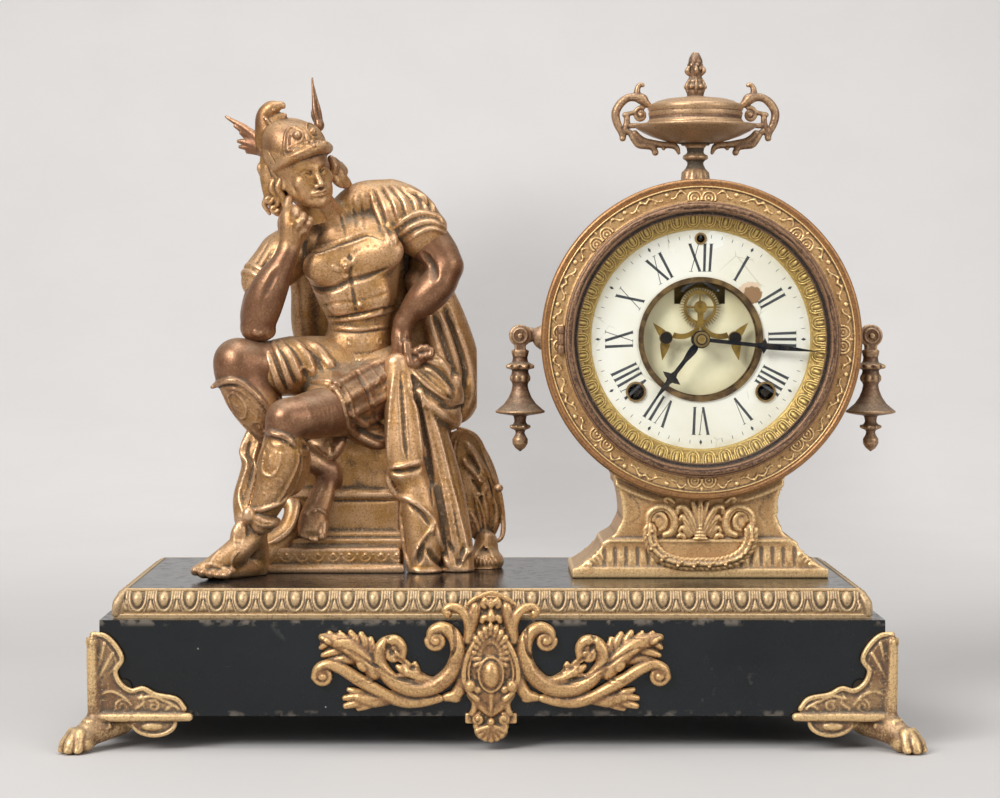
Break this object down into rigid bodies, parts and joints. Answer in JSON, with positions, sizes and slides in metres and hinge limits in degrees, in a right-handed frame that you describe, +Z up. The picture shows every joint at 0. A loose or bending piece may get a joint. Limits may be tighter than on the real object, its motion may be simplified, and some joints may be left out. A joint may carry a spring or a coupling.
{
  "type": "figural mantel clock",
  "caption": "Mantel clock with a drum dial and open escapement beside a seated cast warrior on a black box base with paw feet.",
  "frame": {"origin": "middle of the four paws on the table", "axes": "+X to the right of the dial, +Y to the back, +Z up"},
  "size_m": [0.4208, 0.2096, 0.3486],
  "materials": {
    "gilt": "worn gilt on cast metal",
    "bronzed": "worn copper-brown bronzing",
    "black_enamel": "gloss black enamel",
    "dial_enamel": "cream enamel on copper",
    "clear_glass": "clear",
    "brass": "polished, dulled",
    "steel": "plain",
    "blued_steel": "blued"
  },
  "bodies": {
    "case": {"base_box": "black_enamel", "base_top_plate": "black_enamel", "base_moulding": "gilt", "front_mount": "gilt", "foot_front_left": "bronzed", "foot_front_right": "bronzed", "foot_rear_left": "bronzed", "foot_rear_right": "bronzed", "fixing_screws": "steel", "figure_seat": "gilt", "figure_torso": "gilt", "figure_head": "gilt", "figure_right_arm": "bronzed", "figure_left_arm": "bronzed", "figure_right_leg": "bronzed", "figure_left_leg": "bronzed", "figure_skirt": "gilt", "figure_cloak": "gilt", "figure_shield": "gilt", "pedestal": "gilt", "pedestal_ornament": "gilt", "drum_case": "bronzed", "drum_front_ring": "gilt", "urn_stem": "bronzed", "urn_bowl": "bronzed", "urn_lid": "bronzed", "urn_handles": "bronzed", "pendant_brackets": "bronzed", "sight_ring": "gilt", "dial_ring": "dial_enamel", "dial_recess": "brass", "dial_grommets": "brass", "front_plate": "brass", "back_plate": "brass", "plate_pillars": "brass", "mainsprings": "steel", "escapement_cock": "gilt", "gong": "steel"},
    "door": {"bezel_rim": "bronzed", "bezel_glass": "clear_glass"},
    "back_door": {"rear_door": "bronzed"},
    "left_pendant": {"pendant_left": "bronzed"},
    "right_pendant": {"pendant_right": "bronzed"},
    "time_barrel": {"time_main_wheel": "brass"},
    "time_arbor": {"time_winding_arbor": "steel"},
    "second": {"second_wheel": "brass"},
    "centre": {"centre_wheel": "brass"},
    "third": {"third_wheel": "brass"},
    "escape": {"escape_wheel": "brass"},
    "verge": {"pallets": "steel"},
    "swing": {"pendulum": "steel"},
    "minutes": {"minute_hand": "blued_steel"},
    "hours": {"hour_hand": "blued_steel"},
    "motion": {"minute_wheel": "brass"},
    "strike_barrel": {"strike_main_wheel": "brass"},
    "strike_arbor": {"strike_winding_arbor": "steel"},
    "strike_pin": {"strike_pin_wheel": "brass"},
    "fly": {"strike_fly": "brass"},
    "strike_hammer": {"hammer": "steel"},
    "regulator": {"regulator_arbor": "steel"}
  },
  "joints": [
    {"name": "door_hinge", "type": "hinge", "parent": "case", "child": "door", "pos_m": [0.0349, -0.0405, 0.199], "axis": [0, 0, 1], "range_deg": [-100, 0]},
    {"name": "rear_door_hinge", "type": "hinge", "parent": "case", "child": "back_door", "pos_m": [0.1814, 0.04, 0.199], "axis": [0, 0, 1], "range_deg": [-110, 0]},
    {"name": "left_pendant_swing", "type": "hinge", "parent": "case", "child": "left_pendant", "pos_m": [0.015, 0, 0.2004], "axis": [0, 1, 0], "range_deg": [-8, 25]},
    {"name": "right_pendant_swing", "type": "hinge", "parent": "case", "child": "right_pendant", "pos_m": [0.198, 0, 0.2004], "axis": [0, 1, 0], "range_deg": [-25, 8]},
    {"name": "third_wheel_turn", "type": "hinge", "parent": "case", "child": "third", "pos_m": [0.12015, 0, 0.20787], "axis": [0, 1, 0], "continuous": true},
    {"name": "centre_wheel_turn", "type": "hinge", "parent": "case", "child": "centre", "pos_m": [0.1065, 0, 0.199], "axis": [0, 1, 0], "continuous": true},
    {"name": "second_wheel_turn", "type": "hinge", "parent": "case", "child": "second", "pos_m": [0.11472, 0, 0.18132], "axis": [0, 1, 0], "continuous": true},
    {"name": "time_main_wheel_turn", "type": "hinge", "parent": "case", "child": "time_barrel", "pos_m": [0.1395, 0, 0.1722], "axis": [0, 1, 0], "continuous": true},
    {"name": "escape_wheel_turn", "type": "hinge", "parent": "case", "child": "escape", "pos_m": [0.1065, 0, 0.2153], "axis": [0, 1, 0], "continuous": true},
    {"name": "time_winding", "type": "hinge", "parent": "case", "child": "time_arbor", "pos_m": [0.1395, 0, 0.1722], "axis": [0, 1, 0], "continuous": true},
    {"name": "minute_hand_turn", "type": "hinge", "parent": "case", "child": "minutes", "pos_m": [0.1065, 0, 0.199], "axis": [0, 1, 0], "continuous": true},
    {"name": "hour_hand_turn", "type": "hinge", "parent": "case", "child": "hours", "pos_m": [0.1065, 0, 0.199], "axis": [0, 1, 0], "continuous": true},
    {"name": "minute_wheel_turn", "type": "hinge", "parent": "case", "child": "motion", "pos_m": [0.1125, 0, 0.18861], "axis": [0, 1, 0], "continuous": true},
    {"name": "pendulum_swing", "type": "hinge", "parent": "case", "child": "swing", "pos_m": [0.1065, 0, 0.244], "axis": [0, 1, 0], "range_deg": [-3, 3]},
    {"name": "pallets_rock", "type": "hinge", "parent": "case", "child": "verge", "pos_m": [0.1065, 0, 0.23], "axis": [0, 1, 0], "range_deg": [-4.8, 4.8]},
    {"name": "strike_pin_wheel_turn", "type": "hinge", "parent": "case", "child": "strike_pin", "pos_m": [0.08751, 0, 0.19458], "axis": [0, 1, 0], "continuous": true},
    {"name": "strike_main_wheel_turn", "type": "hinge", "parent": "case", "child": "strike_barrel", "pos_m": [0.0735, 0, 0.1722], "axis": [0, 1, 0], "continuous": true},
    {"name": "strike_fly_turn", "type": "hinge", "parent": "case", "child": "fly", "pos_m": [0.08135, 0, 0.21149], "axis": [0, 1, 0], "continuous": true},
    {"name": "strike_winding", "type": "hinge", "parent": "case", "child": "strike_arbor", "pos_m": [0.0735, 0, 0.1722], "axis": [0, 1, 0], "continuous": true},
    {"name": "hammer_lift", "type": "hinge", "parent": "case", "child": "strike_hammer", "pos_m": [0.0605, 0, 0.221], "axis": [0, 1, 0], "range_deg": [0, 12], "stiffness_Nm_per_rad": 0.02, "springref_deg": -5.73},
    {"name": "regulator_turn", "type": "hinge", "parent": "case", "child": "regulator", "pos_m": [0.1065, 0, 0.2503], "axis": [0, 1, 0], "continuous": true}
  ],
  "couplings": [
    {"joint": "centre_wheel_turn", "follows": "third_wheel_turn", "ratio": -0.1},
    {"joint": "second_wheel_turn", "follows": "third_wheel_turn", "ratio": 0.011429},
    {"joint": "time_main_wheel_turn", "follows": "third_wheel_turn", "ratio": -0.0016327},
    {"joint": "escape_wheel_turn", "follows": "third_wheel_turn", "ratio": -13},
    {"joint": "hour_hand_turn", "follows": "minute_hand_turn", "ratio": 0.083333},
    {"joint": "minute_wheel_turn", "follows": "minute_hand_turn", "ratio": -0.33333},
    {"joint": "pallets_rock", "follows": "pendulum_swing", "ratio": 1.5185},
    {"joint": "strike_main_wheel_turn", "follows": "strike_pin_wheel_turn", "ratio": -0.14286},
    {"joint": "strike_fly_turn", "follows": "strike_pin_wheel_turn", "ratio": -8}
  ]
}
